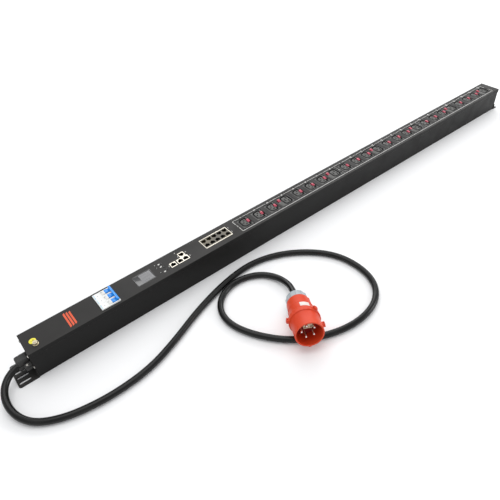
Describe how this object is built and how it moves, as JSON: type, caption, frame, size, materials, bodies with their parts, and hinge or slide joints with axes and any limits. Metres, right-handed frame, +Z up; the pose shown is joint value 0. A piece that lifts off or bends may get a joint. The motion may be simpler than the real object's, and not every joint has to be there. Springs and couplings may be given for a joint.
{
  "type": "rack power strip",
  "caption": "Long slim black steel power strip for a rack, with a row of lockable outlets, breaker, display, network jacks, and a heavy cord ending in a red pin-and-sleeve plug.",
  "frame": {"origin": "under the middle of the strip, mounting ears included, on the plane that its back lies on", "axes": "+X along the strip from the cord end to the closed end, +Y across it away from the cord's loops, +Z up out of the outlet face"},
  "size_m": [1.7812, 0.412, 0.085],
  "materials": {
    "case_steel": "satin black powder coat",
    "clamp_nylon": "moulded black nylon",
    "zinc_screw": "bright zinc plate",
    "earth_metal": "plated brass",
    "breaker_white": "satin white moulding",
    "toggle_blue": "glossy blue moulding",
    "display_pane": "smoked acrylic",
    "display_case": "matt",
    "circuit_board": "green solder mask",
    "light_lens": "clear light pipe",
    "button_black": "satin",
    "jack_metal": "nickel-plated shield",
    "outlet_nylon": "moulded dark nylon",
    "copper": "bare copper",
    "support_nylon": "moulded",
    "cord_rubber": "satin black sheath",
    "gland_grey": "ribbed moulding",
    "plug_red": "glossy red moulding",
    "insert_beige": "moulded",
    "pin_nickel": "nickel-plated brass",
    "tab_red": "glossy red moulding"
  },
  "bodies": {
    "strip": {"base_tray": "case_steel", "front_cover": "case_steel", "cord_end_plate": "case_steel", "far_end_plate": "case_steel", "mounting_ear": "case_steel", "far_ear": "case_steel", "end_screws": "zinc_screw", "clamp_base": "clamp_nylon", "clamp_cap": "clamp_nylon", "clamp_screws": "zinc_screw", "earth_stud": "earth_metal", "earth_nut": "earth_metal", "breaker_poles": "breaker_white", "breaker_rail": "zinc_screw", "display_window": "display_pane", "display_module": "display_case", "controller_board": "circuit_board", "indicator_lights": "light_lens", "network_jacks": "jack_metal", "jack_block": "jack_metal", "small_outlets": "outlet_nylon", "large_outlets": "outlet_nylon", "outlet_contacts": "copper", "power_bars": "copper", "earth_bar": "copper", "bar_supports": "support_nylon", "cord": "cord_rubber", "gland_nut": "gland_grey", "plug_housing": "plug_red", "plug_shroud": "plug_red", "plug_insert": "insert_beige", "plug_pins": "pin_nickel"},
    "breaker_toggle": {"breaker_toggle": "toggle_blue"},
    "button_far": {"button_far": "button_black"},
    "button_middle": {"button_middle": "button_black"},
    "button_near": {"button_near": "button_black"},
    "lock_tab_01": {"lock_tab_01": "tab_red"},
    "lock_tab_02": {"lock_tab_02": "tab_red"},
    "lock_tab_03": {"lock_tab_03": "tab_red"},
    "lock_tab_04": {"lock_tab_04": "tab_red"},
    "lock_tab_05": {"lock_tab_05": "tab_red"},
    "lock_tab_06": {"lock_tab_06": "tab_red"},
    "lock_tab_07": {"lock_tab_07": "tab_red"},
    "lock_tab_08": {"lock_tab_08": "tab_red"},
    "lock_tab_09": {"lock_tab_09": "tab_red"},
    "lock_tab_10": {"lock_tab_10": "tab_red"},
    "lock_tab_11": {"lock_tab_11": "tab_red"},
    "lock_tab_12": {"lock_tab_12": "tab_red"},
    "lock_tab_13": {"lock_tab_13": "tab_red"},
    "lock_tab_14": {"lock_tab_14": "tab_red"},
    "lock_tab_15": {"lock_tab_15": "tab_red"},
    "lock_tab_16": {"lock_tab_16": "tab_red"},
    "lock_tab_17": {"lock_tab_17": "tab_red"},
    "lock_tab_18": {"lock_tab_18": "tab_red"},
    "lock_tab_19": {"lock_tab_19": "tab_red"},
    "lock_tab_20": {"lock_tab_20": "tab_red"},
    "lock_tab_21": {"lock_tab_21": "tab_red"},
    "lock_tab_22": {"lock_tab_22": "tab_red"},
    "lock_tab_23": {"lock_tab_23": "tab_red"},
    "lock_tab_24": {"lock_tab_24": "tab_red"}
  },
  "joints": [
    {"name": "breaker_switch", "type": "hinge", "parent": "strip", "child": "breaker_toggle", "pos_m": [-0.6295, 0, 0.065], "axis": [0, -1, 0], "range_deg": [0, 66]},
    {"name": "button_far_press", "type": "slide", "parent": "strip", "child": "button_far", "axis": [0, 0, -1], "range_m": [0, 0.0008], "stiffness_N_per_m": 300},
    {"name": "button_middle_press", "type": "slide", "parent": "strip", "child": "button_middle", "axis": [0, 0, -1], "range_m": [0, 0.0008], "stiffness_N_per_m": 300},
    {"name": "button_near_press", "type": "slide", "parent": "strip", "child": "button_near", "axis": [0, 0, -1], "range_m": [0, 0.0008], "stiffness_N_per_m": 300},
    {"name": "lock_tab_01_slide", "type": "slide", "parent": "strip", "child": "lock_tab_01", "axis": [1, 0, 0], "range_m": [0, 0.0022], "stiffness_N_per_m": 300},
    {"name": "lock_tab_02_slide", "type": "slide", "parent": "strip", "child": "lock_tab_02", "axis": [1, 0, 0], "range_m": [0, 0.0022], "stiffness_N_per_m": 300},
    {"name": "lock_tab_03_slide", "type": "slide", "parent": "strip", "child": "lock_tab_03", "axis": [1, 0, 0], "range_m": [0, 0.0022], "stiffness_N_per_m": 300},
    {"name": "lock_tab_04_slide", "type": "slide", "parent": "strip", "child": "lock_tab_04", "axis": [-1, 0, 0], "range_m": [0, 0.0022], "stiffness_N_per_m": 300},
    {"name": "lock_tab_05_slide", "type": "slide", "parent": "strip", "child": "lock_tab_05", "axis": [1, 0, 0], "range_m": [0, 0.0022], "stiffness_N_per_m": 300},
    {"name": "lock_tab_06_slide", "type": "slide", "parent": "strip", "child": "lock_tab_06", "axis": [1, 0, 0], "range_m": [0, 0.0022], "stiffness_N_per_m": 300},
    {"name": "lock_tab_07_slide", "type": "slide", "parent": "strip", "child": "lock_tab_07", "axis": [1, 0, 0], "range_m": [0, 0.0022], "stiffness_N_per_m": 300},
    {"name": "lock_tab_08_slide", "type": "slide", "parent": "strip", "child": "lock_tab_08", "axis": [-1, 0, 0], "range_m": [0, 0.0022], "stiffness_N_per_m": 300},
    {"name": "lock_tab_09_slide", "type": "slide", "parent": "strip", "child": "lock_tab_09", "axis": [1, 0, 0], "range_m": [0, 0.0022], "stiffness_N_per_m": 300},
    {"name": "lock_tab_10_slide", "type": "slide", "parent": "strip", "child": "lock_tab_10", "axis": [1, 0, 0], "range_m": [0, 0.0022], "stiffness_N_per_m": 300},
    {"name": "lock_tab_11_slide", "type": "slide", "parent": "strip", "child": "lock_tab_11", "axis": [1, 0, 0], "range_m": [0, 0.0022], "stiffness_N_per_m": 300},
    {"name": "lock_tab_12_slide", "type": "slide", "parent": "strip", "child": "lock_tab_12", "axis": [-1, 0, 0], "range_m": [0, 0.0022], "stiffness_N_per_m": 300},
    {"name": "lock_tab_13_slide", "type": "slide", "parent": "strip", "child": "lock_tab_13", "axis": [1, 0, 0], "range_m": [0, 0.0022], "stiffness_N_per_m": 300},
    {"name": "lock_tab_14_slide", "type": "slide", "parent": "strip", "child": "lock_tab_14", "axis": [1, 0, 0], "range_m": [0, 0.0022], "stiffness_N_per_m": 300},
    {"name": "lock_tab_15_slide", "type": "slide", "parent": "strip", "child": "lock_tab_15", "axis": [1, 0, 0], "range_m": [0, 0.0022], "stiffness_N_per_m": 300},
    {"name": "lock_tab_16_slide", "type": "slide", "parent": "strip", "child": "lock_tab_16", "axis": [-1, 0, 0], "range_m": [0, 0.0022], "stiffness_N_per_m": 300},
    {"name": "lock_tab_17_slide", "type": "slide", "parent": "strip", "child": "lock_tab_17", "axis": [1, 0, 0], "range_m": [0, 0.0022], "stiffness_N_per_m": 300},
    {"name": "lock_tab_18_slide", "type": "slide", "parent": "strip", "child": "lock_tab_18", "axis": [1, 0, 0], "range_m": [0, 0.0022], "stiffness_N_per_m": 300},
    {"name": "lock_tab_19_slide", "type": "slide", "parent": "strip", "child": "lock_tab_19", "axis": [1, 0, 0], "range_m": [0, 0.0022], "stiffness_N_per_m": 300},
    {"name": "lock_tab_20_slide", "type": "slide", "parent": "strip", "child": "lock_tab_20", "axis": [-1, 0, 0], "range_m": [0, 0.0022], "stiffness_N_per_m": 300},
    {"name": "lock_tab_21_slide", "type": "slide", "parent": "strip", "child": "lock_tab_21", "axis": [1, 0, 0], "range_m": [0, 0.0022], "stiffness_N_per_m": 300},
    {"name": "lock_tab_22_slide", "type": "slide", "parent": "strip", "child": "lock_tab_22", "axis": [1, 0, 0], "range_m": [0, 0.0022], "stiffness_N_per_m": 300},
    {"name": "lock_tab_23_slide", "type": "slide", "parent": "strip", "child": "lock_tab_23", "axis": [1, 0, 0], "range_m": [0, 0.0022], "stiffness_N_per_m": 300},
    {"name": "lock_tab_24_slide", "type": "slide", "parent": "strip", "child": "lock_tab_24", "axis": [-1, 0, 0], "range_m": [0, 0.0022], "stiffness_N_per_m": 300}
  ]
}
